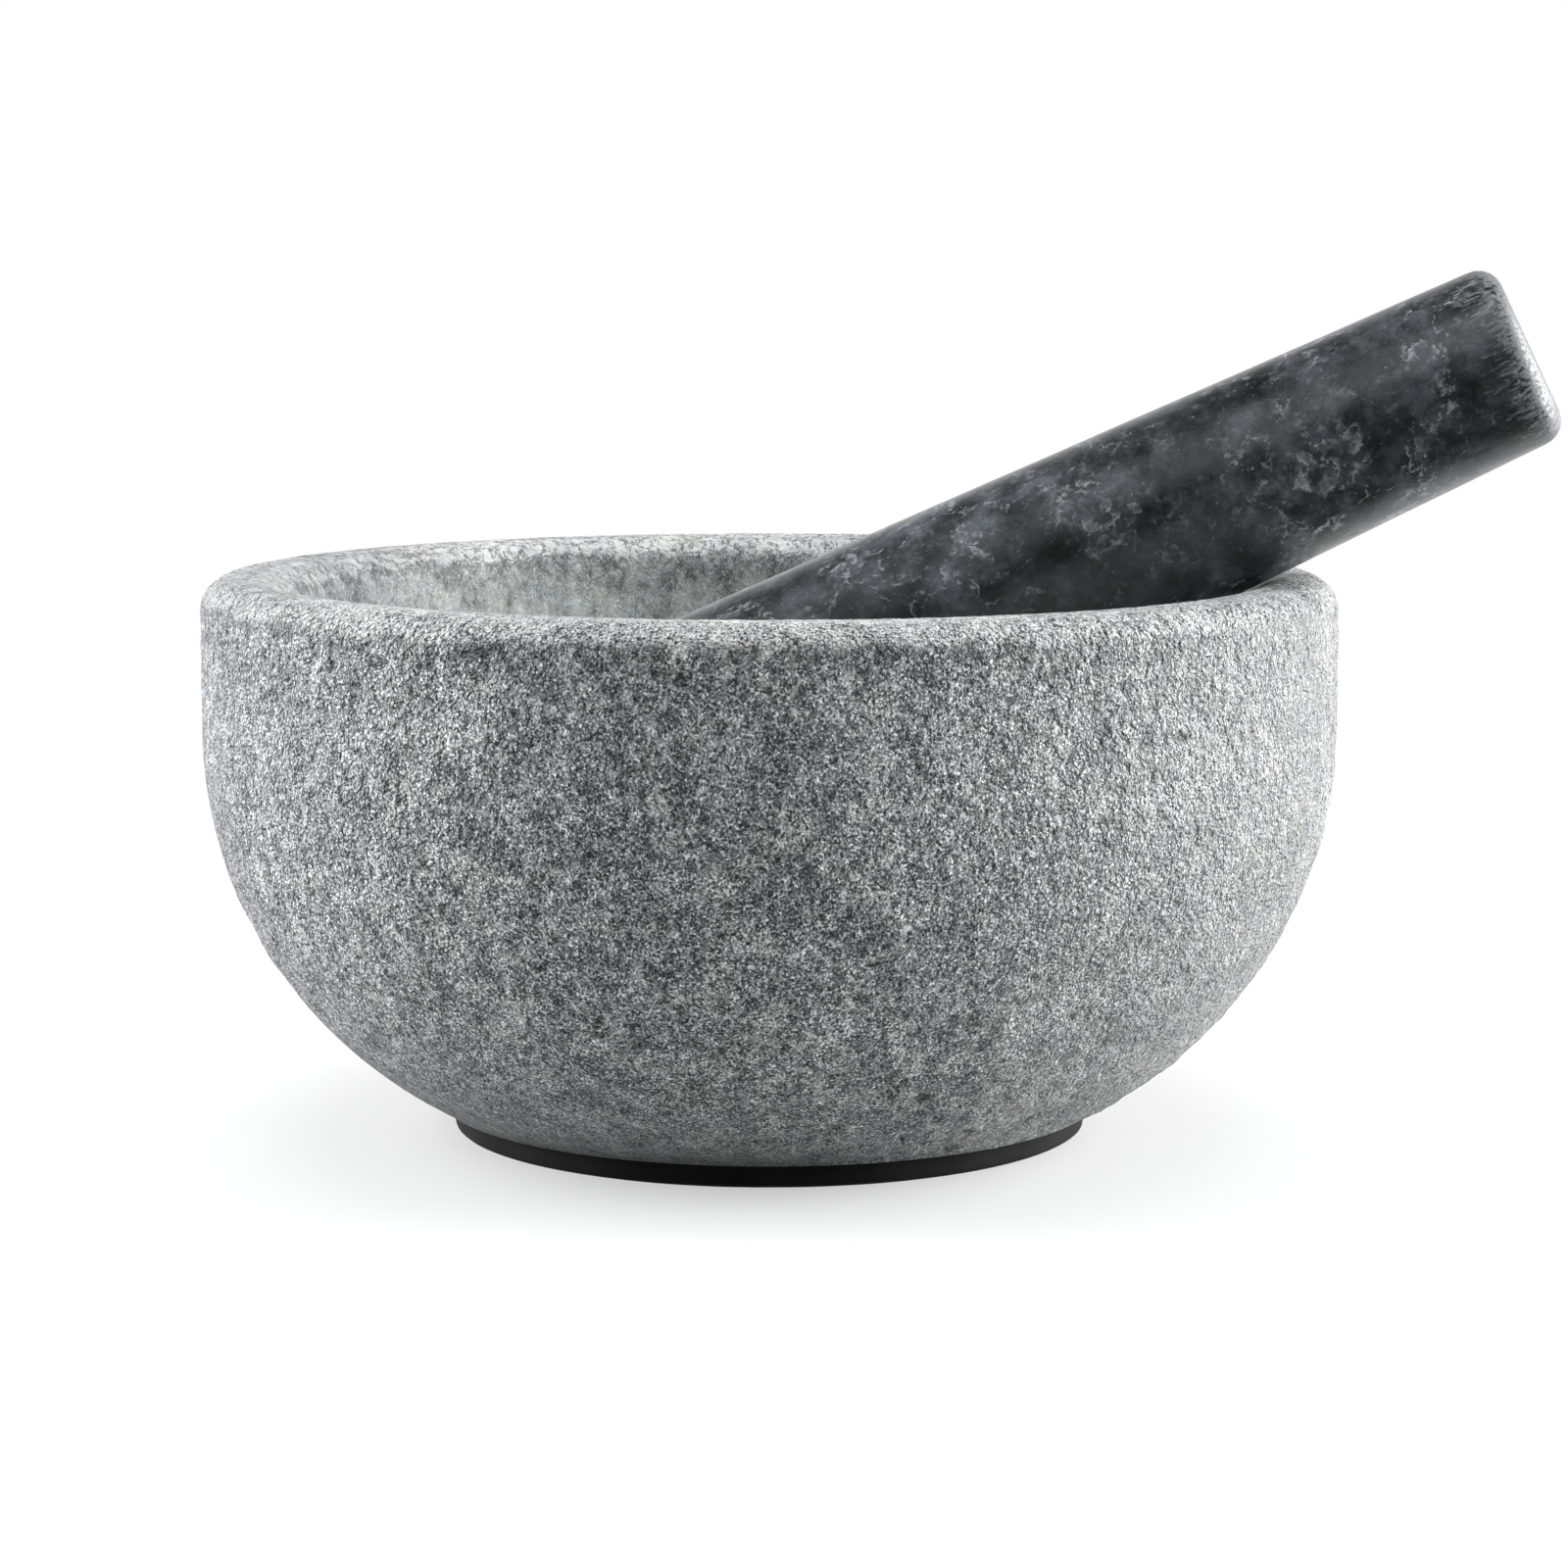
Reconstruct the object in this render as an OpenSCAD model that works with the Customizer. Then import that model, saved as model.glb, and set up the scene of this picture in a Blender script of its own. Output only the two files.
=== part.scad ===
// Stone mortar on a rubber foot, with its pestle leaning in the bowl.
// Millimetres. +Z is up, the origin is the centre of the foot's underside,
// and the pestle leans in the XZ plane with its handle towards +X.

/* [Bowl] */
// Outer diameter of the stone bowl
bowl_d = 200; // [190:1:215]
// Height of the stone, from its underside to the top of the rim
bowl_h = 94; // [90:1:100]
// Thickness of the upright wall just below the rim
wall_t = 16.5; // [15:0.5:18]
// Radius of the curve that draws the outside in towards the foot
side_curve_r = 75; // [72:1:80]
// Height above the underside at which the outside starts to draw in
side_curve_h = 67; // [60:1:70]
// Depth of the cavity, from the top of the rim to the floor
cavity_depth = 66.5; // [64:0.5:70]
// Radius of the curve between the cavity's wall and its floor
cavity_side_r = 53; // [45:1:54]
// Rounding of the rim's outer edge
rim_outer_r = 6; // [4:0.5:7.5]
// Rounding of the rim's inner edge
rim_inner_r = 7; // [5:0.5:7.5]

/* [Foot] */
// Diameter of the rubber pad
pad_d = 113; // [100:1:116]
// Thickness of the rubber pad
pad_t = 4; // [2:0.5:5]
// Rounding of the pad's lower edge
pad_edge_r = 0.8; // [0.2:0.1:1.5]
// Thickness of the adhesive film between the pad and the stone
film_t = 0.3; // [0.1:0.1:0.5]
// How far the adhesive film stays back from the pad's edge
film_inset = 2; // [1:0.5:5]

/* [Pestle] */
// Length of the pestle, from the handle's flat end to the tip of the head
pestle_l = 205.5; // [195:0.5:215]
// Diameter at the handle end, where the thinner end is cut flat
handle_d = 32; // [28:1:35]
// Diameter of the ball-shaped grinding head
head_d = 41.6; // [38:0.2:45]
// Rounding of the handle end's edge
handle_edge_r = 4.4; // [1:0.2:6]
// Angle between the leaning pestle and the table
lean = 25.5; // [24:0.1:28]
// Gap left between the pestle and the stone that it leans on
rest_gap = 0.3; // [0.2:0.1:0.5]

/* [Hidden] */
$fn = 128;

// Margin by which a cutter stands clear of the face it opens
clear = 1;

// Heights of the stack, from the table up
film_z = pad_t;
stone_z = film_z + film_t;

// Outside of the bowl
bowl_r = bowl_d / 2;
side_centre_r = bowl_r - side_curve_r;

// Cavity: a side arc below the rounded rim, tangent to one wide floor arc
cavity_r = bowl_r - wall_t;
cavity_side_z = bowl_h - rim_inner_r;
cavity_side_centre_r = cavity_r - cavity_side_r;
cavity_drop = cavity_depth - rim_inner_r;
floor_r = (pow(cavity_side_centre_r, 2) + pow(cavity_drop, 2) - pow(cavity_side_r, 2))
    / (2 * (cavity_drop - cavity_side_r));
floor_centre_z = bowl_h - cavity_depth + floor_r;
floor_half_angle = atan2(cavity_side_centre_r, floor_centre_z - cavity_side_z);

// Pestle, along its own axis from the centre of its head to the flat end
head_r = head_d / 2;
handle_r = handle_d / 2;
shaft_l = pestle_l - head_r;
taper = asin(head_r / norm([handle_r, shaft_l])) - atan2(handle_r, shaft_l);
edge_centre_z = shaft_l - handle_edge_r;
edge_centre_r = (head_r - edge_centre_z * sin(taper) - handle_edge_r) / cos(taper);

// Where the pestle rests, in the XZ plane: its lower side lies along the rim's inner
// rounding, and its head lies on the floor arc, each rest_gap away from the stone
lower_side = [sin(lean + taper), -cos(lean + taper)];
down_shaft = [-cos(lean + taper), -sin(lean + taper)];
rim_centre = [cavity_r + rim_inner_r, stone_z + cavity_side_z];
floor_centre = [0, stone_z + floor_centre_z];
head_reach = floor_r - head_r - rest_gap;
head_offset = (rim_centre - floor_centre) * lower_side - head_r - rim_inner_r - rest_gap;
head_slide = sqrt(pow(head_reach, 2) - pow(head_offset, 2));
head_centre = floor_centre + head_offset * lower_side + head_slide * down_shaft;

// Half outline of the bowl without its cavity, radius along X and height along Y
module outside_outline() {
    translate([0, side_curve_h])
        square([bowl_r, bowl_h - rim_outer_r - side_curve_h]);
    translate([0, side_curve_h])
        square([bowl_r - rim_outer_r, bowl_h - side_curve_h]);
    translate([bowl_r - rim_outer_r, bowl_h - rim_outer_r])
        circle(rim_outer_r);
    square([side_centre_r, side_curve_h]);
    intersection() {
        translate([side_centre_r, side_curve_h])
            circle(side_curve_r);
        square([bowl_r, side_curve_h]);
    }
}

// Wedge that holds the floor arc, from the floor arc's centre down past the floor
module floor_wedge() {
    reach = 2 * floor_r;
    polygon([
        [0, floor_centre_z],
        [0, floor_centre_z - reach],
        [reach * sin(floor_half_angle), floor_centre_z - reach * cos(floor_half_angle)]
    ]);
}

// Half outline of the cavity, open at the top
module cavity_outline() {
    translate([0, cavity_side_z])
        square([cavity_r, rim_inner_r + clear]);
    difference() {
        translate([0, cavity_side_z])
            square([cavity_r + rim_inner_r, rim_inner_r + clear]);
        translate([cavity_r + rim_inner_r, cavity_side_z])
            circle(rim_inner_r);
    }
    intersection() {
        square([cavity_r, cavity_side_z]);
        union() {
            translate([cavity_side_centre_r, cavity_side_z])
                circle(cavity_side_r);
            intersection() {
                translate([0, floor_centre_z])
                    circle(floor_r);
                floor_wedge();
            }
        }
    }
}

// Granite bowl: upright wall, rounded rim, side curving in to a flat underside
module bowl() {
    color("#8b9093")
        translate([0, 0, stone_z])
            rotate_extrude()
                difference() {
                    outside_outline();
                    cavity_outline();
                }
}

// Thin film of contact adhesive between the stone and the pad
module foot_adhesive() {
    color("#b59a5a")
        translate([0, 0, film_z])
            cylinder(r = pad_d / 2 - film_inset, h = film_t);
}

// Rubber disc that the bowl stands on
module foot_pad() {
    pad_r = pad_d / 2;
    color("#1b1b1c")
        rotate_extrude() {
            square([pad_r - pad_edge_r, pad_t]);
            translate([0, pad_edge_r])
                square([pad_r, pad_t - pad_edge_r]);
            translate([pad_r - pad_edge_r, pad_edge_r])
                circle(pad_edge_r);
        }
}

// Half outline of the pestle, head at the origin and handle end at the top
module pestle_outline() {
    intersection() {
        circle(head_r);
        translate([0, -head_r])
            square([head_r, 2 * head_r]);
    }
    polygon([
        [0, 0],
        [head_r * cos(taper), head_r * sin(taper)],
        [edge_centre_r + handle_edge_r * cos(taper), edge_centre_z + handle_edge_r * sin(taper)],
        [edge_centre_r, shaft_l],
        [0, shaft_l]
    ]);
    translate([edge_centre_r, edge_centre_z])
        circle(handle_edge_r);
}

// Dark stone pestle, leaning in the bowl
module pestle() {
    color("#2f3537")
        translate([head_centre[0], 0, head_centre[1]])
            rotate([0, 90 - lean, 0])
                rotate_extrude()
                    pestle_outline();
}

bowl();
foot_adhesive();
foot_pad();
pestle();
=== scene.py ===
"""Looks of a granite mortar on a rubber foot, with its pestle leaning in the bowl."""
import math

import bmesh
import bpy
from mathutils import Matrix, Vector, noise


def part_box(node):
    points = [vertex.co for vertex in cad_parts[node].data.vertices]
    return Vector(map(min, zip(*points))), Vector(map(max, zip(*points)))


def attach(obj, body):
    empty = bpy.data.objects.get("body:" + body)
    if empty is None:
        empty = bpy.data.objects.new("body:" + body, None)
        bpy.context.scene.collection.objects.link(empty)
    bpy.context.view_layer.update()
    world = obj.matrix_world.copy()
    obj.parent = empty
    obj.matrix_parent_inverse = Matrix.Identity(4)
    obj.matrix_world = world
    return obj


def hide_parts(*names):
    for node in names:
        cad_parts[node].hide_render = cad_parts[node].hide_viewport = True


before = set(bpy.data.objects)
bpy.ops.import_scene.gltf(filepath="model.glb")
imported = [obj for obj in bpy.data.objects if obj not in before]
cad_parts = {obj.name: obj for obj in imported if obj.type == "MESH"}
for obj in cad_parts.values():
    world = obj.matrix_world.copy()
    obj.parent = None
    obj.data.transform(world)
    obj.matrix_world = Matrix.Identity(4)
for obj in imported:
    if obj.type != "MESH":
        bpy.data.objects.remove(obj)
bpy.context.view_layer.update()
BOWL_LOW, BOWL_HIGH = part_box("bowl")
PAD_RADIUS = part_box("foot_pad")[1].x

# Lengths are in metres
MM = 0.001
IDENTITY = Matrix.Identity(4)

# The camera stands off the -Y axis, turned this far towards +X, and looks slightly down. The
# lens and the sensor are in millimetres
CAMERA_TURN = math.radians(9.6)
CAMERA_DISTANCE = 738.5 * MM
CAMERA_HEIGHT = 159.1 * MM
CAMERA_TILT = math.radians(7.607)
CAMERA_YAW = math.radians(0.2)
LENS = 96.12
SENSOR = 36.0
VIEW_REACH = 20.0

# Stage: from FADE_FROM to FADE_TO away from the origin, the floor turns from a pale surface,
# whose glow has the share FLOOR_GLOW_NEAR, to an even white
FLOOR_RADIUS = 3.0
FLOOR_ALBEDO = 0.6
FLOOR_GLOW_NEAR = 0.52
FADE_FROM = 0.05
FADE_TO = 0.32
BACKDROP_RADIUS = 4.0

# Lights: softboxes aim at LIGHT_AIM. The room brightens from front to back, and less for
# directions that point up
LIGHT_AIM = Vector((0, 0, 0.05))
ROOM_FRONT = 0.12
ROOM_BACK = 1.15
ROOM_FADE_FROM = 0.3
ROOM_FADE_TO = 0.9
ROOM_DIM_ABOVE = 0.45

# Meshes: the number of vertices round each turned piece, and the spacing of its rings. The
# bowl's rings are hidden within UNDERSIDE_REACH of the axis and UNDERSIDE_MARGIN of its
# underside. A turn over CORNER_TURN gets its own ring, at least CORNER_ROOM steps from the last
BOWL_SEGMENTS = 560
BOWL_OUTSIDE_STEP = 1.05 * MM
BOWL_CAVITY_STEP = 3.6 * MM
PESTLE_SEGMENTS = 200
PESTLE_STEP = 1.4 * MM
PAD_SEGMENTS = 256
PAD_STEP = 0.5 * MM
HIDDEN_STEP = 6 * MM
UNDERSIDE_REACH = 0.5 * BOWL_HIGH.x
UNDERSIDE_MARGIN = 0.1 * MM
CORNER_TURN = math.radians(25)
CORNER_ROOM = 0.3

# Reading the frame's nodes: vertices closer than WELD are one, vertices within CUT_SLACK of
# the cutting plane lie on it, and the search for a turned node's axis takes AXIS_ROUNDS
WELD = 1e-6
CUT_SLACK = 1e-7
AXIS_ROUNDS = 80

# Relief of the dressed stone: how deep it is cut on average, how much rougher it is towards
# +X, and the size and height of its rough patches, swellings, tooled lumps and pits
DRESSED_DEPTH = 0.20 * MM
ROUGHER_SIDE = 0.35
PATCH_SIZE = 38 * MM
SWELL_SIZE = 30 * MM
SWELL_HEIGHT = 0.10 * MM
LUMP_SIZE = 5.0 * MM
LUMP_HEIGHT = 0.28 * MM
PIT_SIZE = 2.8 * MM
PIT_DEPTH = 1.3 * MM

# Shifts that keep the noises of patches, pits, chips and nicks apart
PATCH_SHIFT = Vector((3.1, 0.7, 5.2))
PIT_SHIFT = Vector((7.7, 1.3, 2.9))
CHIP_SHIFT = Vector((1.9, 8.3, 4.4))
NICK_SHIFT = Vector((2.2, 5.1, 0.4))

# The ground band on the rim: its height outside and inside, how far its edge wanders, the
# width over which it blends in, and how far down the inside its rings stay fine
BAND_HEIGHT = 3.7 * MM
CAVITY_BAND = 3.2 * MM
BAND_WANDER = 1.3 * MM
BAND_BLEND = 0.6 * MM
RIM_DEPTH = 6 * MM

# Wear and painted shade: the rim is polished within POLISH_FROM of the axis. The stone is
# stained below the rim's inner edge and cracked below its outer edge, where more cracks also
# paint the shade under the band, and it carries painted shade near the foot
POLISH_FROM = 92.5 * MM
POLISH_BLEND = 3.5 * MM
STAIN_DEPTH = 5 * MM
UNDER_BAND = 3 * MM
LOW_BAND = 9 * MM

# A spot's side runs from 1, where the stone faces a little round from +X towards the right
# lamp, to -1 opposite. Past the first share below the stone carries painted light, paler and
# flatter, and past FLANK_FROM either way it is a flank
LIT_SIDE_TURN = math.radians(5)
LIT_SIDE_FROM = 0.35
FLANK_FROM = 0.4
SIDE_BLEND = 0.5

# The pestle's handle end is worn over this length, between these distances from its axis
WORN_LENGTH = 8 * MM
WORN_INNER = 11 * MM
WORN_OUTER = 15 * MM

# Crooked cells: the size of the bends and how far they push, in cell widths
BEND_SIZE = 0.4
BEND_PUSH = 0.8

# Colours of the bowl's details
PALE_FIBRE = (0.55, 0.56, 0.565)
PALE_RIDGE = (0.50, 0.515, 0.515)
# Painted shade, cooler and darker, on the dim left flank
DIM_SIDE_SHADE = (0.90, 0.893, 0.925)
# Painted shade of the chipped rim on both flanks
FLANK_RIM_SHADE = (0.74, 0.74, 0.75)
DARK_CURL = (0.035, 0.037, 0.036)
# Painted shade near the foot
FOOT_SHADE = (0.042, 0.045, 0.047)

# Colours of the pestle's details
LARGE_CRESCENT = (0.28, 0.295, 0.31)
SMALL_CRESCENT = (0.19, 0.20, 0.22)
PALE_VEIN = (0.26, 0.275, 0.30)
PALE_WISP = (0.20, 0.215, 0.24)
PALE_SPECK = (0.16, 0.17, 0.185)
WORN_STONE = (0.13, 0.139, 0.144)
WORN_ROUGHNESS = (0.95, 0.95, 0.95)


# ---------------------------------------------------------------- outlines from the frame

def turning_frame(node):
    """The matrix that carries a turned node's own frame, with its axis along Z, to the row frame.

    The axis is the direction in which the node's surface reaches furthest from its centre.
    """
    faces = [(p.area, p.center.copy()) for p in node.data.polygons]
    area = sum(a for a, _ in faces)
    middle = sum((a * c for a, c in faces), Vector()) / area
    spread = Matrix(((0, 0, 0), (0, 0, 0), (0, 0, 0)))
    for a, c in faces:
        arm = c - middle
        for row in range(3):
            spread[row] += a * arm[row] * arm
    axis = Vector((1, 0, 1))
    for _ in range(AXIS_ROUNDS):
        axis = (spread @ axis).normalized()
    return Matrix.Translation(middle) @ axis.to_track_quat("Z", "Y").to_matrix().to_4x4()


def sliced(bm, normal, **options):
    """Cut the whole bmesh at a plane through the origin. Returns what lies in the plane."""
    whole = bm.verts[:] + bm.edges[:] + bm.faces[:]
    cut = bmesh.ops.bisect_plane(bm, geom=whole, plane_co=(0, 0, 0), plane_no=normal, **options)
    return cut["geom_cut"]


def half_section(node, place):
    """(radius, height) points of a turned node's half section, from its lower pole to its upper."""
    bm = bmesh.new()
    bm.from_mesh(node.data)
    bmesh.ops.remove_doubles(bm, verts=bm.verts, dist=WELD)
    bmesh.ops.transform(bm, matrix=place.inverted(), verts=bm.verts)
    sliced(bm, (1, 0, 0), clear_inner=True)
    cut = sliced(bm, (0, 1, 0), dist=CUT_SLACK)
    section = {e for e in cut if isinstance(e, bmesh.types.BMEdge)}
    ends = [v for e in section for v in e.verts if sum(f in section for f in v.link_edges) == 1]
    vertex = min(ends, key=lambda v: v.co.z)
    points = [Vector((max(vertex.co.x, 0.0), vertex.co.z))]
    while True:
        edge = next((e for e in vertex.link_edges if e in section), None)
        if edge is None:
            break
        section.remove(edge)
        vertex = edge.other_vert(vertex)
        points.append(Vector((max(vertex.co.x, 0.0), vertex.co.z)))
    bm.free()
    return points


def spaced(points, step_at):
    """The outline again, with a point every step_at(point) and one at every corner."""
    out = [points[0]]
    gone = 0.0
    for before, here, after in zip(points, points[1:], points[2:] + points[-1:]):
        leg = here - before
        length = leg.length
        if length == 0:
            continue
        done = 0.0
        while gone + length - done >= step_at(out[-1]):
            done += step_at(out[-1]) - gone
            gone = 0.0
            out.append(before + leg * (done / length))
        gone += length - done
        corner = (after - here).length > 0 and leg.angle(after - here, 0.0) > CORNER_TURN
        if corner and (here - out[-1]).length > CORNER_ROOM * step_at(here):
            out.append(here)
            gone = 0.0
    if (points[-1] - out[-1]).length > 0:
        out.append(points[-1])
    return out


def turned(name, points, segments, place, shape):
    """A smooth closed mesh of the outline turned round its axis.

    shape(ring, position, outward) gives the surface's move there, as a vector, and the values of
    the mesh's own attributes by name.
    """
    count = len(points)
    places, tags = [], {}
    for i, point in enumerate(points):
        along = points[min(i + 1, count - 1)] - points[max(i - 1, 0)]
        along.normalize()
        at_pole = i in (0, count - 1)
        for j in range(1 if at_pole else segments):
            angle = 2 * math.pi * j / segments
            ray = Vector((math.cos(angle), math.sin(angle), 0))
            spot = ray * (0.0 if at_pole else point.x) + Vector((0, 0, point.y))
            outward = ray * along.y - Vector((0, 0, along.x))
            if at_pole:
                outward = Vector((0, 0, -1 if i == 0 else 1))
            move, marks = shape(i, spot, outward)
            places.append(spot + move)
            for key, value in marks.items():
                tags.setdefault(key, []).append(value)

    def vertex(i, j):
        return 1 + (i - 1) * segments + j % segments

    faces = []
    for j in range(segments):
        faces.append((0, vertex(1, j + 1), vertex(1, j)))
        for i in range(1, count - 2):
            faces.append((vertex(i, j), vertex(i, j + 1), vertex(i + 1, j + 1), vertex(i + 1, j)))
        faces.append((vertex(count - 2, j), vertex(count - 2, j + 1), len(places) - 1))
    mesh = bpy.data.meshes.new(name)
    mesh.from_pydata(places, [], faces)
    mesh.transform(place)
    for key, values in tags.items():
        mesh.attributes.new(key, "FLOAT", "POINT").data.foreach_set("value", values)
    mesh.shade_smooth()
    piece = bpy.data.objects.new(name, mesh)
    bpy.context.scene.collection.objects.link(piece)
    return piece


# ---------------------------------------------------------------- shader helpers

def new_material(name, roughness, **settings):
    """A material with one Principled shader. Returns the material, its node tree and the shader."""
    material = bpy.data.materials.new(name)
    material.use_nodes = True
    tree = material.node_tree
    shader = tree.nodes["Principled BSDF"]
    shader.inputs["Roughness"].default_value = roughness
    for socket, value in settings.items():
        shader.inputs[socket.replace("_", " ")].default_value = value
    return material, tree, shader


def add(tree, kind, links=None, values=None, **settings):
    """A new node, with its properties set, its inputs' values set, and its inputs linked."""
    node = tree.nodes.new("ShaderNode" + kind)
    for key, value in settings.items():
        setattr(node, key, value)
    for key, value in (values or {}).items():
        node.inputs[key].default_value = value
    for key, socket in (links or {}).items():
        tree.links.new(socket, node.inputs[key])
    return node


def stretched(tree, size, stretch=(1, 1, 1), place=IDENTITY):
    """Coordinates along place's own axes, in which this size in metres is one unit."""
    scale = [size * s for s in stretch]
    values = {"Location": place.translation, "Rotation": place.to_euler(), "Scale": scale}
    links = {"Vector": add(tree, "TexCoord").outputs["Object"]}
    return add(tree, "Mapping", links, values, vector_type="TEXTURE").outputs["Vector"]


def clouds(tree, coordinates, detail=2.0, roughness=0.5, distortion=0.0):
    """Noise from 0 to 1."""
    values = {"Scale": 1.0, "Detail": detail, "Roughness": roughness, "Distortion": distortion}
    return add(tree, "TexNoise", {"Vector": coordinates}, values).outputs["Fac"]


def ramp(tree, factor, stops):
    """A colour ramp. stops are (position, colour or grey)."""
    node = add(tree, "ValToRGB", {"Fac": factor})
    band = node.color_ramp
    while len(band.elements) < len(stops):
        band.elements.new(1.0)
    for element, (position, colour) in zip(band.elements, stops):
        element.position = position
        grey = (colour, colour, colour) if isinstance(colour, (int, float)) else colour
        element.color = (*grey, 1.0)
    return node.outputs["Color"]


def mix(tree, factor, a, b, blend="MIX"):
    """Colours a and b mixed. Each of factor, a and b is a socket or a value."""
    node = add(tree, "Mix", data_type="RGBA", blend_type=blend)
    sockets = {0: factor, 6: a, 7: b}
    for index, value in sockets.items():
        if isinstance(value, bpy.types.NodeSocket):
            tree.links.new(value, node.inputs[index])
        elif index == 0:
            node.inputs[index].default_value = value
        else:
            node.inputs[index].default_value = (*value, 1.0)
    return node.outputs[2]


def times(tree, a, b):
    """Colours a and b multiplied."""
    return mix(tree, 1.0, a, b, "MULTIPLY")


def maths(tree, operation, a, b=0.0, c=0.0):
    """A Math node on sockets or numbers."""
    node = add(tree, "Math", operation=operation)
    for index, value in enumerate((a, b, c)):
        if isinstance(value, bpy.types.NodeSocket):
            tree.links.new(value, node.inputs[index])
        else:
            node.inputs[index].default_value = value
    return node.outputs[0]


def attribute(tree, name):
    """One of the mesh's own values."""
    return add(tree, "Attribute", attribute_name=name).outputs["Fac"]


def bump(tree, height, distance, normal=None):
    """A bump normal, with its full height in metres."""
    links = {"Height": height}
    if normal is not None:
        links["Normal"] = normal
    return add(tree, "Bump", links, {"Strength": 1.0, "Distance": distance}).outputs["Normal"]


def middle_lines(tree, cloud, stops):
    """Lines where a cloud passes its middle. stops are on the distance from the middle."""
    return ramp(tree, maths(tree, "ABSOLUTE", maths(tree, "SUBTRACT", cloud, 0.5)), stops)


def crooked(tree, cell):
    """Coordinates in cells of this size, bent so that the cells' edges are crooked."""
    links = {"Vector": stretched(tree, BEND_SIZE * cell)}
    bends = add(tree, "TexNoise", links, {"Scale": 1.0, "Detail": 4.0, "Roughness": 0.6})
    links = {0: bends.outputs["Color"]}
    push = add(tree, "VectorMath", links, {1: [BEND_PUSH] * 3}, operation="MULTIPLY").outputs[0]
    return add(tree, "VectorMath", {0: stretched(tree, cell), 1: push}, operation="ADD").outputs[0]


def edge_glow(tree, coordinates, stops):
    """A ramp on the distance to the nearest edge between crooked cells, in cell widths."""
    links = {"Vector": coordinates}
    gaps = add(tree, "TexVoronoi", links, {"Scale": 1.0}, feature="DISTANCE_TO_EDGE")
    return ramp(tree, gaps.outputs["Distance"], stops)


# ---------------------------------------------------------------- bowl

def bowl_step(point):
    """Ring spacing on the outside: coarse only on the hidden underside."""
    hidden = point.y < BOWL_LOW.z + UNDERSIDE_MARGIN and point.x < UNDERSIDE_REACH
    return HIDDEN_STEP if hidden else BOWL_OUTSIDE_STEP


def cavity_step(point):
    """Ring spacing inside: fine on the rounded rim, coarser below it."""
    return BOWL_OUTSIDE_STEP if point.y > BOWL_HIGH.z - RIM_DEPTH else BOWL_CAVITY_STEP


def limited(value, low, high):
    """The value, kept between low and high."""
    return min(max(value, low), high)


def dressed_relief(spot):
    """Outward move of the rough outside: swellings, tooled lumps that run round it, and pits."""
    level = Vector((0.85 * spot.x, 0.85 * spot.y, 1.1 * spot.z))
    patch = limited(0.8 + 1.5 * noise.noise(spot / PATCH_SIZE + PATCH_SHIFT), 0.35, 1.6)
    patch *= 1 + ROUGHER_SIDE * spot.x / BOWL_HIGH.x
    swell = SWELL_HEIGHT * noise.noise(spot / SWELL_SIZE)
    lumps = LUMP_HEIGHT * noise.fractal(level / LUMP_SIZE, 0.6, 2.1, 3)
    pits = PIT_DEPTH * max(noise.noise(level / PIT_SIZE + PIT_SHIFT) - 0.30, 0.0)
    return swell + patch * (lumps - pits) - DRESSED_DEPTH


def rim_relief(spot):
    """Outward move of the ground rim: nearly even, with small lumps and chips."""
    lumps = 0.08 * noise.fractal(spot / (3.0 * MM), 0.7, 2.1, 2)
    chips = max(noise.noise(spot / (2.2 * MM) + CHIP_SHIFT) - 0.42, 0.0)
    return (lumps - chips - 0.05) * MM


def cavity_relief(spot):
    """Outward move of the cavity: worn smooth, with a faint waviness."""
    return 0.05 * MM * noise.noise(spot / (12 * MM))


def stone_masks(spot, inside, rim, past):
    """What the stone's material reads at a spot, each from 0 to 1.

    rim is the ground band's share there, and past fades with the distance below that band. The
    painted shade near the foot is weakest on the right lamp's side, and the side masks place the
    painted light and shade of the stone's sides.
    """
    reach = math.hypot(spot.x, spot.y)
    facing = spot.x * math.cos(LIT_SIDE_TURN) + spot.y * math.sin(LIT_SIDE_TURN)
    side = facing / max(reach, MM)
    # Painted shade near the foot, strongest away from the right lamp
    foot_shading = limited(1.1 - 1.3 * side, 0.2, 1.0)
    return {
        "rim": rim,
        "cavity": (1 - rim) if inside else 0.0,
        "polish": limited((POLISH_FROM - reach) / POLISH_BLEND, 0.0, 1.0) if inside else 0.0,
        "stain": past if inside else 0.0,
        "under": 0.0 if inside else past,
        # Painted light on the right lamp's side
        "lit_side": limited((side - LIT_SIDE_FROM) / SIDE_BLEND, 0.0, 1.0),
        "flank": limited((abs(side) - FLANK_FROM) / SIDE_BLEND, 0.0, 1.0),
        # Painted shade near the foot
        "low": foot_shading * math.exp((BOWL_LOW.z - spot.z) / LOW_BAND),
    }


def bowl_shape(crest):
    """The shape function of the stone. Rings after the crest lie inside the rim."""
    def shape(ring, spot, outward):
        inside = ring > crest
        wander = BAND_WANDER * noise.fractal(spot / (7 * MM), 0.7, 2.2, 3)
        depth = BOWL_HIGH.z - spot.z + wander
        limit = CAVITY_BAND if inside else BAND_HEIGHT
        rim = limited(0.5 + (limit - depth) / BAND_BLEND, 0.0, 1.0)
        below = cavity_relief(spot) if inside else dressed_relief(spot)
        move = rim * rim_relief(spot) + (1 - rim) * below
        if spot.z < BOWL_LOW.z + 0.5 * UNDERSIDE_MARGIN:
            move = 0.0
        past = math.exp(-max(depth - limit, 0.0) / (STAIN_DEPTH if inside else UNDER_BAND))
        return outward * move, stone_masks(spot, inside, rim, past)
    return shape


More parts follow.
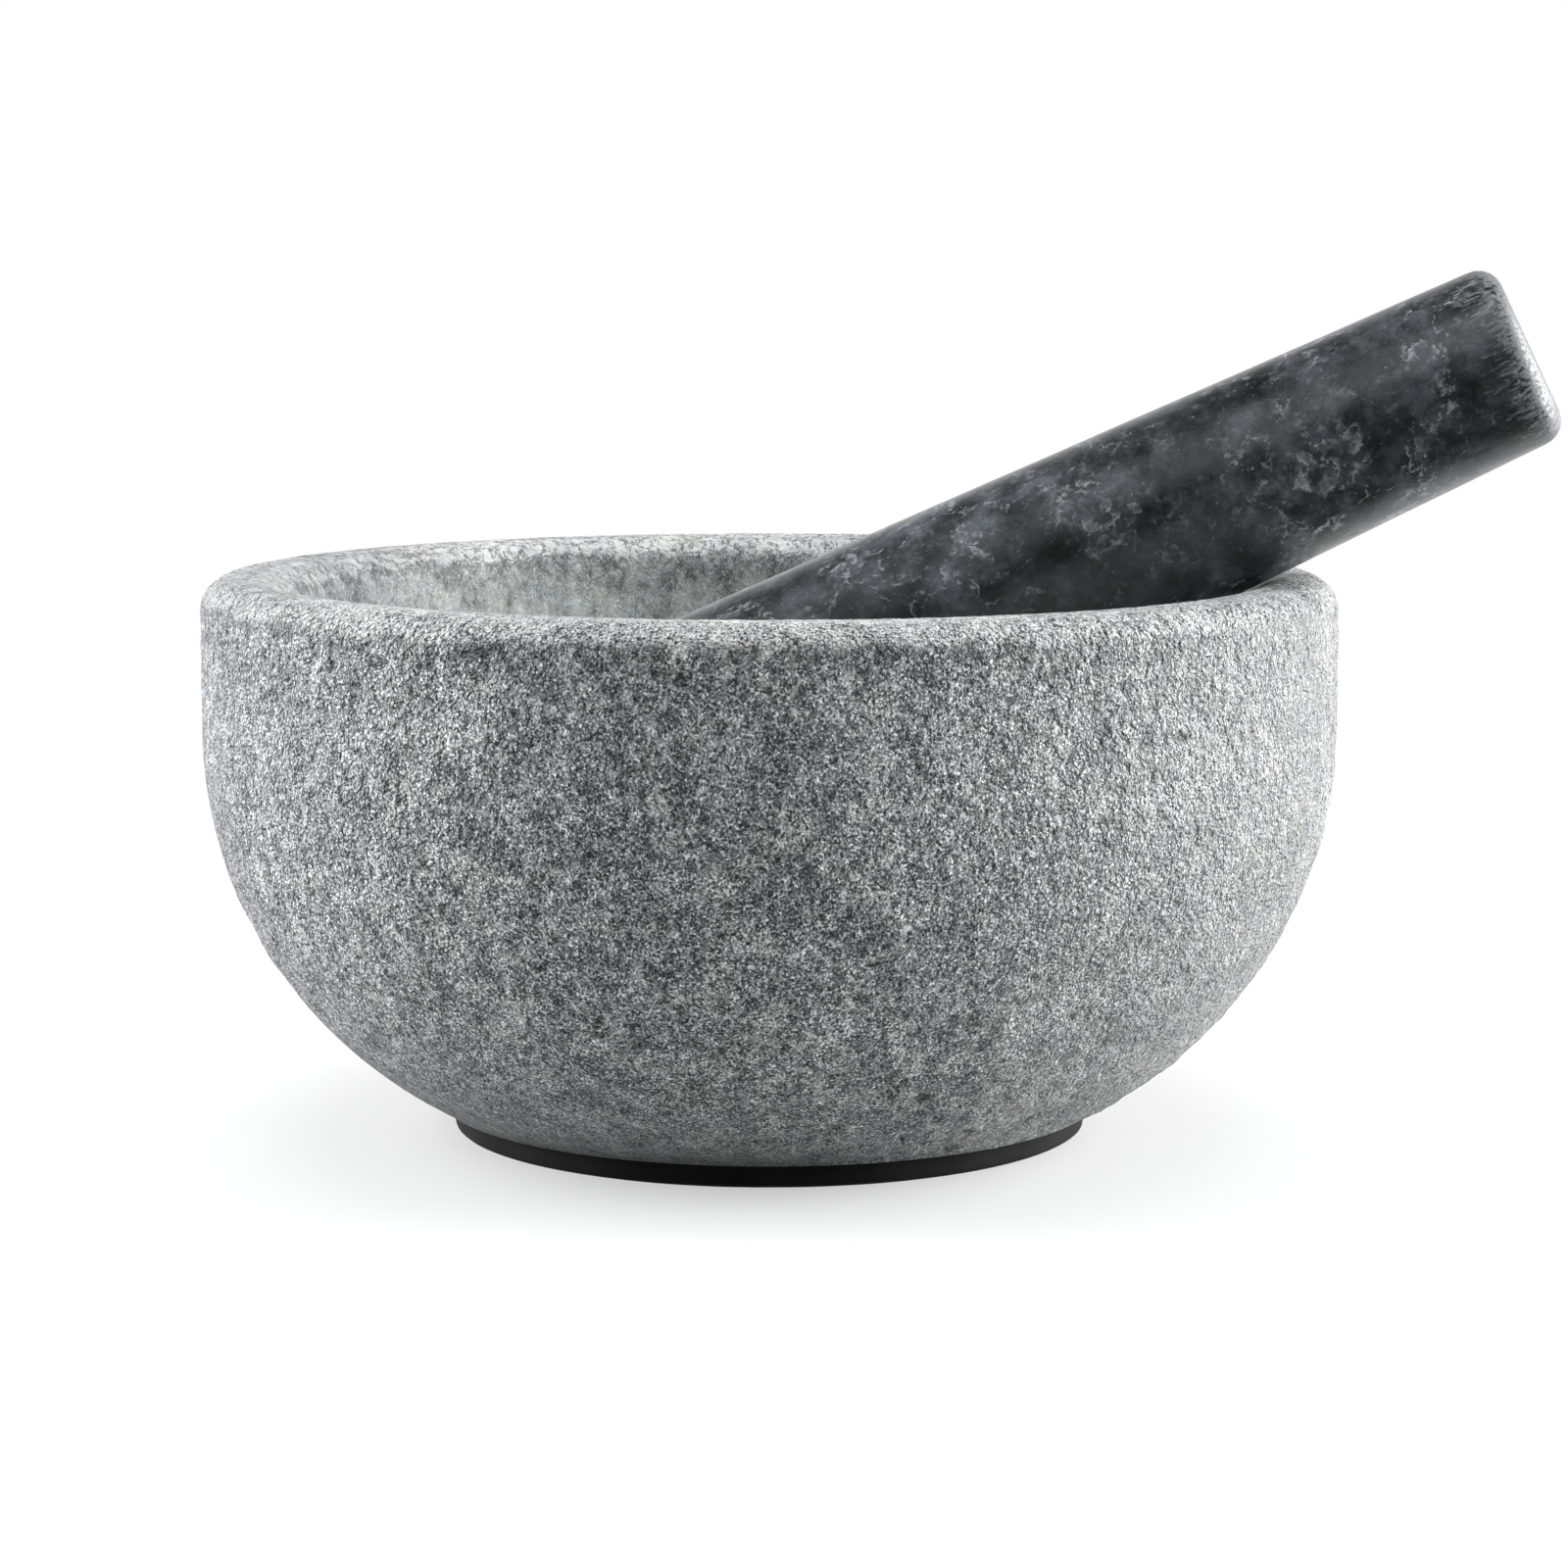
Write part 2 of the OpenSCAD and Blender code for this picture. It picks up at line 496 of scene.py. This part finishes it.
def stone_grain(tree):
    """The granite's grain from 0 to 1, and its widest scale alone."""
    fine = clouds(tree, stretched(tree, 0.40 * MM, (1, 1, 1.15)), detail=1.0, roughness=0.6)
    medium = clouds(tree, stretched(tree, 1.5 * MM, (1, 1, 1.2)), detail=1.5, roughness=0.65)
    cluster = clouds(tree, stretched(tree, 6.5 * MM, (1, 1, 1.4)), detail=2.0, roughness=0.6)
    grain = maths(tree, "MULTIPLY", fine, 0.58)
    grain = maths(tree, "MULTIPLY_ADD", medium, 0.24, grain)
    return maths(tree, "MULTIPLY_ADD", cluster, 0.18, grain), cluster


def dressed_stone(tree, grain, dim_side):
    """The rough outside: speckled, with pale fibres and ridges and dark cracks.

    It carries painted shade, cooler and darker, on the dim left flank, and painted light, paler
    and flatter, on the right lamp's side.
    """
    colour = ramp(tree, grain, [(0.41, (0.030, 0.033, 0.035)), (0.48, (0.102, 0.108, 0.110)),
                                (0.53, (0.205, 0.213, 0.215)), (0.60, (0.62, 0.635, 0.635))])
    fibres = clouds(tree, stretched(tree, 1.7 * MM), detail=2.0, roughness=0.6)
    fibres = middle_lines(tree, fibres, [(0.0, 0.7), (0.012, 0.4), (0.03, 0.0)])
    colour = mix(tree, fibres, colour, PALE_FIBRE)
    ridged = ramp(tree, clouds(tree, stretched(tree, 6 * MM), detail=2.0), [(0.42, 0.0), (0.56, 1.0)])
    ridges = edge_glow(tree, crooked(tree, 3.6 * MM), [(0.0, 0.85), (0.02, 0.5), (0.07, 0.0)])
    colour = mix(tree, times(tree, ridges, ridged), colour, PALE_RIDGE)
    flecks = clouds(tree, stretched(tree, 0.45 * MM), detail=1.0)
    colour = times(tree, colour, ramp(tree, flecks, [(0.36, 0.66), (0.5, 1.0), (0.62, 1.5)]))
    cracks = clouds(tree, stretched(tree, 2.2 * MM), detail=3.0, roughness=0.7)
    # More dark cracks just below the band's outer edge, partly painted shade under the band
    cracks = maths(tree, "MULTIPLY_ADD", attribute(tree, "under"), 0.20, cracks)
    colour = times(tree, colour, ramp(tree, cracks, [(0.52, 1.0), (0.74, 0.35)]))
    # Painted shade on the dim left flank
    colour = mix(tree, dim_side, colour, times(tree, colour, DIM_SIDE_SHADE))
    # Painted light: paler, flatter stone on the right lamp's side
    lit_stone = ramp(tree, grain, [(0.38, (0.130, 0.133, 0.132)), (0.5, (0.262, 0.267, 0.263)),
                               (0.62, (0.37, 0.376, 0.369))])
    return mix(tree, maths(tree, "MULTIPLY", attribute(tree, "lit_side"), 0.75), colour, lit_stone)


def cavity_stone(tree, smears, dressed):
    """The cavity: greener and smoother than the outside, with dark smears."""
    colour = ramp(tree, smears, [(0.33, (0.026, 0.030, 0.028)), (0.41, (0.142, 0.154, 0.147)),
                                 (0.48, (0.220, 0.235, 0.226)), (0.62, (0.362, 0.380, 0.367))])
    return mix(tree, 0.25, colour, dressed)


def stain_curls(tree):
    """Mask of the dark curled lines just below the rim's inner edge."""
    curls = clouds(tree, stretched(tree, 2.6 * MM), detail=4.0, roughness=0.6, distortion=0.6)
    curls = middle_lines(tree, curls, [(0.0, 1.0), (0.018, 0.6), (0.04, 0.0)])
    return maths(tree, "MULTIPLY", curls, attribute(tree, "stain"))


def rim_stone(tree, grain, cluster, smears, polish):
    """The ground rim: pale, pocked at its outer edge, honed further in; painted shade on its flanks.
    """
    chipped = ramp(tree, grain, [(0.40, (0.04, 0.042, 0.043)), (0.46, (0.33, 0.336, 0.336)),
                                 (0.60, (0.60, 0.608, 0.602))])
    pocks = clouds(tree, stretched(tree, 0.7 * MM), detail=2.0, roughness=0.7)
    pocks = maths(tree, "MULTIPLY_ADD", cluster, 0.12, pocks)
    chipped = times(tree, chipped, ramp(tree, pocks, [(0.42, 0.12), (0.46, 1.0)]))
    # Painted shade: the chipped rim darker on both flanks
    chipped = mix(tree, attribute(tree, "flank"), chipped, times(tree, chipped, FLANK_RIM_SHADE))
    honed = ramp(tree, smears, [(0.25, (0.19, 0.192, 0.190)), (0.42, (0.38, 0.384, 0.381)),
                                (0.66, (0.48, 0.484, 0.480))])
    return mix(tree, maths(tree, "MULTIPLY", polish, 0.75), chipped, honed)


def drifts_and_foot_shade(tree, colour):
    """The colour with wide drifts of tone and warmth, and painted shade near the foot."""
    drift = clouds(tree, stretched(tree, 34 * MM), detail=3.0)
    wide = ramp(tree, drift, [(0.33, (0.86, 0.875, 0.89)), (0.67, (1.08, 1.085, 1.07))])
    tint = clouds(tree, stretched(tree, 6 * MM), detail=4.0, roughness=0.7)
    tint = ramp(tree, tint, [(0.38, (0.975, 0.998, 1.015)), (0.62, (1.015, 1.0, 0.98))])
    colour = times(tree, times(tree, colour, wide), tint)
    return mix(tree, maths(tree, "MULTIPLY", attribute(tree, "low"), 0.92), colour, FOOT_SHADE)


def stone_normal(tree, polish, dim_side):
    """Fine chipped relief, nearly gone where polished, and weaker on the dim left flank."""
    values = {"Scale": 1.0, "Detail": 1.0}
    facets = add(tree, "TexVoronoi", {"Vector": stretched(tree, 0.75 * MM)}, values)
    chipped = clouds(tree, stretched(tree, 1.9 * MM), detail=3.0, roughness=0.68)
    depth = maths(tree, "MULTIPLY_ADD", polish, -0.93, 1.0)
    depth = maths(tree, "MULTIPLY_ADD", dim_side, -0.18, depth)
    glints = bump(tree, maths(tree, "MULTIPLY", facets.outputs["Distance"], depth), -0.45 * MM)
    return bump(tree, maths(tree, "MULTIPLY", chipped, depth), 2.2 * MM, glints)


def bowl_material():
    """Speckled grey granite: rough outside, paler on the rim, greener and smoother inside."""
    material, tree, shader = new_material("bowl granite", 0.6, Specular_IOR_Level=0.4)
    polish = attribute(tree, "polish")
    grain, cluster = stone_grain(tree)
    smears = clouds(tree, stretched(tree, 4.0 * MM, (1, 1, 1.3)), detail=6.0, roughness=0.78)
    smears = maths(tree, "MULTIPLY_ADD", attribute(tree, "stain"), -0.13, smears)
    # The dim side, which carries painted shade, is the flank away from the right lamp
    dim_side = maths(tree, "SUBTRACT", attribute(tree, "flank"), attribute(tree, "lit_side"))
    dressed = dressed_stone(tree, grain, dim_side)
    ground = rim_stone(tree, grain, cluster, smears, polish)
    colour = mix(tree, attribute(tree, "rim"), dressed, ground)
    colour = mix(tree, attribute(tree, "cavity"), colour, cavity_stone(tree, smears, dressed))
    colour = mix(tree, stain_curls(tree), colour, DARK_CURL)
    tree.links.new(drifts_and_foot_shade(tree, colour), shader.inputs["Base Color"])
    tree.links.new(stone_normal(tree, polish, dim_side), shader.inputs["Normal"])
    return material


def make_bowl():
    """The granite bowl."""
    section = half_section(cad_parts["bowl"], IDENTITY)
    top = max(range(len(section)), key=lambda i: section[i].y)
    outside = spaced(section[:top + 1], bowl_step)
    inside = spaced(section[top:], cavity_step)
    points = outside + inside[1:]
    bowl = turned("bowl_stone", points, BOWL_SEGMENTS, IDENTITY, bowl_shape(len(outside)))
    bowl.data.materials.append(bowl_material())
    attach(bowl, "mortar")
    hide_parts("bowl")


# ---------------------------------------------------------------- foot

def level_move(spot, distance):
    """A move straight out from the axis: the whole distance at the foot's edge, less inside it."""
    return distance * Vector((spot.x, spot.y, 0)) / PAD_RADIUS


def pad_shape(ring, spot, outward):
    """The pad's edge is cut by hand: it wanders a little. Its two faces stay flat."""
    wander = 0.18 * noise.noise(spot / (14 * MM)) + 0.05 * noise.noise(spot / (2 * MM))
    return level_move(spot, (wander - 0.2) * MM), {}


def film_shape(ring, spot, outward):
    """The squeezed film has a scalloped edge."""
    return level_move(spot, (1.1 * noise.noise(spot / (9 * MM)) - 1.1) * MM), {}


def rubber_material():
    """Matte black rubber with a faint moulded grain."""
    material, tree, shader = new_material("foot rubber", 0.75, Specular_IOR_Level=0.12)
    fine = clouds(tree, stretched(tree, 0.5 * MM), detail=3.0, roughness=0.6)
    dust = clouds(tree, stretched(tree, 12 * MM), detail=4.0)
    colour = ramp(tree, dust, [(0.35, (0.0035, 0.0037, 0.0045)), (0.7, (0.008, 0.008, 0.009))])
    tree.links.new(colour, shader.inputs["Base Color"])
    tree.links.new(bump(tree, fine, 0.08 * MM), shader.inputs["Normal"])
    return material


def adhesive_material():
    """Dried amber contact adhesive."""
    material, tree, shader = new_material("dried adhesive", 0.4)
    dabs = clouds(tree, stretched(tree, 5 * MM), detail=4.0)
    colour = ramp(tree, dabs, [(0.35, (0.24, 0.16, 0.06)), (0.65, (0.44, 0.32, 0.14))])
    tree.links.new(colour, shader.inputs["Base Color"])
    tree.links.new(bump(tree, dabs, 0.1 * MM), shader.inputs["Normal"])
    return material


def foot_step(point):
    """Ring spacing: fine at the visible edge, coarse on the hidden faces."""
    return PAD_STEP if point.x > 0.94 * PAD_RADIUS else HIDDEN_STEP


def make_foot():
    """The rubber pad and the film that bonds it to the stone."""
    pieces = (("foot_pad", pad_shape, rubber_material(), "foot_rubber"),
              ("foot_adhesive", film_shape, adhesive_material(), "adhesive"))
    for name, shape, material, slot in pieces:
        points = spaced(half_section(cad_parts[name], IDENTITY), foot_step)
        piece = turned(name + "_piece", points, PAD_SEGMENTS, IDENTITY, shape)
        piece.data.materials.append(material)
        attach(piece, "mortar")
        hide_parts(name)


# ---------------------------------------------------------------- pestle

def pestle_shape(ring, spot, outward):
    """Hand-turned stone: barely uneven, with fine nicks."""
    uneven = 0.05 * noise.noise(spot / (16 * MM)) - 0.05
    nicks = 0.5 * max(noise.noise(spot / (1.8 * MM) + NICK_SHIFT) - 0.52, 0.0)
    return outward * (uneven - nicks) * MM, {}


def veins(tree, cell, width, shown):
    """Thin crooked lines between cells of this size, drawn only where shown is over 0."""
    share = width / cell
    line = edge_glow(tree, crooked(tree, cell), [(0.0, 1.0), (share, 0.4), (2.5 * share, 0.0)])
    return times(tree, line, shown)


def flakes(tree, cell, shown):
    """Plates of this size: their tones, and pale crescents inside the edges of the lighter ones."""
    coordinates = crooked(tree, cell)
    plates = add(tree, "TexVoronoi", {"Vector": coordinates}, {"Scale": 1.0})
    tone = add(tree, "SeparateColor", {0: plates.outputs["Color"]}).outputs[0]
    glow = edge_glow(tree, coordinates, [(0.0, 1.0), (0.025, 0.5), (0.07, 0.22), (0.22, 0.0)])
    lit = ramp(tree, tone, [(0.52, 0.0), (0.60, 1.0)])
    return tone, times(tree, times(tree, glow, lit), shown)


def cloudy_stone(tree, patches, drift):
    """The pestle's ground: near-black to bluish grey patches that drift in tone."""
    colour = ramp(tree, patches, [(0.36, (0.0025, 0.0028, 0.0028)), (0.47, (0.014, 0.0158, 0.0172)),
                                  (0.58, (0.037, 0.042, 0.049)), (0.68, (0.066, 0.074, 0.087))])
    wide = ramp(tree, drift, [(0.35, (0.85, 0.85, 0.84)), (0.65, (1.15, 1.16, 1.19))])
    return times(tree, colour, wide)


def pale_marks(tree, colour, drift):
    """The colour with flaky plates, pale crescents, long veins, wisps and specks drawn on it."""
    where = clouds(tree, stretched(tree, 10 * MM), detail=4.0, roughness=0.65)
    broken = clouds(tree, stretched(tree, 1.8 * MM), detail=2.0, roughness=0.6)
    broken = ramp(tree, broken, [(0.46, 0.0), (0.56, 1.0)])
    shown = times(tree, ramp(tree, where, [(0.47, 0.0), (0.60, 1.0)]), broken)
    tone, crescents = flakes(tree, 7 * MM, shown)
    dim = ramp(tree, tone, [(0.18, 0.55), (0.30, 1.0), (0.75, 1.0), (0.95, 1.2)])
    colour = mix(tree, 0.8, colour, times(tree, colour, dim))
    colour = mix(tree, crescents, colour, LARGE_CRESCENT)
    _, crescents = flakes(tree, 2.9 * MM, ramp(tree, where, [(0.56, 0.0), (0.70, 0.5)]))
    colour = mix(tree, crescents, colour, SMALL_CRESCENT)

    veined = times(tree, ramp(tree, drift, [(0.49, 0.0), (0.56, 0.6)]), broken)
    colour = mix(tree, veins(tree, 15 * MM, 0.16 * MM, veined), colour, PALE_VEIN)
    wisps = clouds(tree, stretched(tree, 2.6 * MM), detail=6.0, roughness=0.72)
    wisps = times(tree, ramp(tree, wisps, [(0.50, 0.0), (0.70, 0.5)]), shown)
    colour = mix(tree, wisps, colour, PALE_WISP)
    specks = clouds(tree, stretched(tree, 0.8 * MM), detail=2.0, roughness=0.6)
    return mix(tree, ramp(tree, specks, [(0.66, 0.0), (0.73, 0.45)]), colour, PALE_SPECK)


def worn_end(tree, place, handle_end):
    """Mask of the brushed wear round the edge of the handle's flat end."""
    own = add(tree, "SeparateXYZ", {0: stretched(tree, 1.0, place=place)})
    brushed = clouds(tree, stretched(tree, 0.5 * MM, (1, 1, 7), place), detail=3.0, roughness=0.7)
    along = maths(tree, "SUBTRACT", own.outputs[2], handle_end - WORN_LENGTH)
    along = maths(tree, "DIVIDE", along, WORN_LENGTH)
    worn = maths(tree, "MULTIPLY_ADD", along, 0.6, maths(tree, "MULTIPLY_ADD", brushed, 3.0, -1.5))
    worn = ramp(tree, worn, [(0.22, 0.0), (0.62, 0.75)])
    across = maths(tree, "MULTIPLY", own.outputs[0], own.outputs[0])
    across = maths(tree, "SQRT", maths(tree, "MULTIPLY_ADD", own.outputs[1], own.outputs[1], across))
    edge = add(tree, "MapRange", {"Value": across}, {"From Min": WORN_INNER, "From Max": WORN_OUTER})
    return maths(tree, "MULTIPLY", worn, edge.outputs[0])


def pestle_material(place, handle_end):
    """Dark satin stone: cloudy, with pale marks, and a dull worn edge at the handle's end."""
    material, tree, shader = new_material("pestle stone", 0.3, Specular_IOR_Level=0.66)
    patches = clouds(tree, stretched(tree, 8 * MM), detail=9.0, roughness=0.72)
    drift = clouds(tree, stretched(tree, 40 * MM), detail=2.0)
    colour = pale_marks(tree, cloudy_stone(tree, patches, drift), drift)
    worn = worn_end(tree, place, handle_end)
    tree.links.new(mix(tree, worn, colour, WORN_STONE), shader.inputs["Base Color"])
    rough = ramp(tree, patches, [(0.3, 0.26), (0.7, 0.36)])
    tree.links.new(mix(tree, worn, rough, WORN_ROUGHNESS), shader.inputs["Roughness"])
    grain = clouds(tree, stretched(tree, 0.7 * MM), detail=3.0, roughness=0.6)
    tree.links.new(bump(tree, grain, 0.03 * MM), shader.inputs["Normal"])
    return material


def make_pestle():
    """The leaning pestle, turned round its own axis."""
    place = turning_frame(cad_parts["pestle"])
    points = spaced(half_section(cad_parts["pestle"], place), lambda point: PESTLE_STEP)
    pestle = turned("pestle_stone", points, PESTLE_SEGMENTS, place, pestle_shape)
    pestle.data.materials.append(pestle_material(place, points[-1].y))
    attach(pestle, "pestle")
    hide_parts("pestle")


# ---------------------------------------------------------------- stage, lights and camera

def backdrop_material():
    """A plain white glow."""
    material = bpy.data.materials.new("white backdrop")
    material.use_nodes = True
    tree = material.node_tree
    tree.nodes.clear()
    glow = add(tree, "Emission", values={"Color": (1, 1, 1, 1), "Strength": 1.0})
    add(tree, "OutputMaterial", {"Surface": glow.outputs[0]})
    return material


def floor_material():
    """Pale matte floor that turns to an even white away from the object."""
    albedo = (FLOOR_ALBEDO, FLOOR_ALBEDO, FLOOR_ALBEDO, 1)
    material, tree, shader = new_material("pale floor", 0.9, Base_Color=albedo, Specular_IOR_Level=0.0)
    place = add(tree, "TexCoord")
    reach = add(tree, "VectorMath", {0: place.outputs["Object"]}, operation="LENGTH")
    links = {"Value": reach.outputs["Value"]}
    limits = {"From Min": FADE_FROM, "From Max": FADE_TO, "To Min": FLOOR_GLOW_NEAR}
    fade = add(tree, "MapRange", links, limits, interpolation_type="SMOOTHSTEP")
    glow = add(tree, "Emission", values={"Strength": 1.0})
    blend = add(tree, "MixShader", {0: fade.outputs[0], 1: shader.outputs[0], 2: glow.outputs[0]})
    tree.links.new(blend.outputs[0], tree.nodes["Material Output"].inputs["Surface"])
    return material


def staged(name, bm, material):
    """An object of the stage, made from a bmesh."""
    mesh = bpy.data.meshes.new(name)
    bm.to_mesh(mesh)
    bm.free()
    mesh.materials.append(material)
    piece = bpy.data.objects.new(name, mesh)
    bpy.context.scene.collection.objects.link(piece)
    return piece


def make_stage():
    """A pale floor, and a white backdrop all round that only the camera sees."""
    disc = bmesh.new()
    bmesh.ops.create_circle(disc, cap_ends=True, radius=FLOOR_RADIUS, segments=64)
    floor = staged("floor", disc, floor_material())
    floor.visible_glossy = False

    dome = bmesh.new()
    bmesh.ops.create_uvsphere(dome, u_segments=48, v_segments=24, radius=BACKDROP_RADIUS)
    backdrop = staged("backdrop", dome, backdrop_material())
    for ray in ("diffuse", "glossy", "transmission", "volume_scatter", "shadow"):
        setattr(backdrop, "visible_" + ray, False)


def softbox(name, turn, elevation, distance, width, height, power, colour=(1, 1, 1)):
    """A soft area light aimed at LIGHT_AIM, by its turn from +X and its elevation in degrees."""
    light = bpy.data.lights.new(name, "AREA")
    light.shape = "RECTANGLE"
    light.size = width
    light.size_y = height
    light.energy = power
    light.color = colour
    lamp = bpy.data.objects.new(name, light)
    turn, elevation = math.radians(turn), math.radians(elevation)
    level = math.cos(elevation)
    ray = Vector((level * math.cos(turn), level * math.sin(turn), math.sin(elevation)))
    lamp.location = LIGHT_AIM + distance * ray
    lamp.rotation_euler = ray.to_track_quat("Z", "Y").to_euler()
    bpy.context.scene.collection.objects.link(lamp)
    return lamp


def make_lights():
    """Softboxes at both sides, in front and overhead. Their turns start from the picture's right."""
    right = math.degrees(CAMERA_TURN)
    softbox("right softbox", turn=right + 5, elevation=12, distance=0.9,
            width=0.8, height=0.8, power=32.5)
    softbox("left softbox", turn=right + 171, elevation=20, distance=0.9,
            width=0.7, height=0.8, power=21.3)
    softbox("front softbox", turn=right - 90, elevation=58, distance=1.1,
            width=1.0, height=1.0, power=4.3, colour=(0.91, 0.97, 1.0))
    overhead = softbox("overhead softbox", turn=right + 90, elevation=80, distance=1.1,
                       width=1.0, height=1.0, power=11.0)
    overhead.visible_glossy = False


def make_room():
    """A surrounding light that is dim in front and white behind."""
    world = bpy.data.worlds.new("room")
    world.use_nodes = True
    tree = world.node_tree
    place = add(tree, "TexCoord")
    direction = add(tree, "SeparateXYZ", {0: place.outputs["Generated"]})
    behind, above = direction.outputs["Y"], direction.outputs["Z"]
    backward = maths(tree, "MULTIPLY_ADD", above, -ROOM_DIM_ABOVE, behind)
    limits = {"From Min": ROOM_FADE_FROM, "From Max": ROOM_FADE_TO,
              "To Min": ROOM_FRONT, "To Max": ROOM_BACK}
    room = add(tree, "MapRange", {"Value": backward}, limits, interpolation_type="SMOOTHSTEP")
    tree.links.new(room.outputs[0], tree.nodes["Background"].inputs["Strength"])
    tree.nodes["Background"].inputs["Color"].default_value = (1, 1, 1, 1)
    bpy.context.scene.world = world


def make_camera():
    """The camera, aimed a little past the bowl's axis so that the bowl stands left of the middle."""
    camera = bpy.data.cameras.new("camera")
    camera.lens = LENS
    camera.sensor_width = SENSOR
    camera.clip_end = VIEW_REACH
    eye = bpy.data.objects.new("camera", camera)
    aside, ahead = math.sin(CAMERA_TURN), math.cos(CAMERA_TURN)
    eye.location = (CAMERA_DISTANCE * aside, -CAMERA_DISTANCE * ahead, CAMERA_HEIGHT)
    eye.rotation_euler = (math.pi / 2 - CAMERA_TILT, 0, CAMERA_TURN - CAMERA_YAW)
    bpy.context.scene.collection.objects.link(eye)
    bpy.context.scene.camera = eye


bpy.context.scene.view_settings.view_transform = "Standard"
make_camera()
make_lights()
make_room()
make_stage()
make_bowl()
make_foot()
make_pestle()
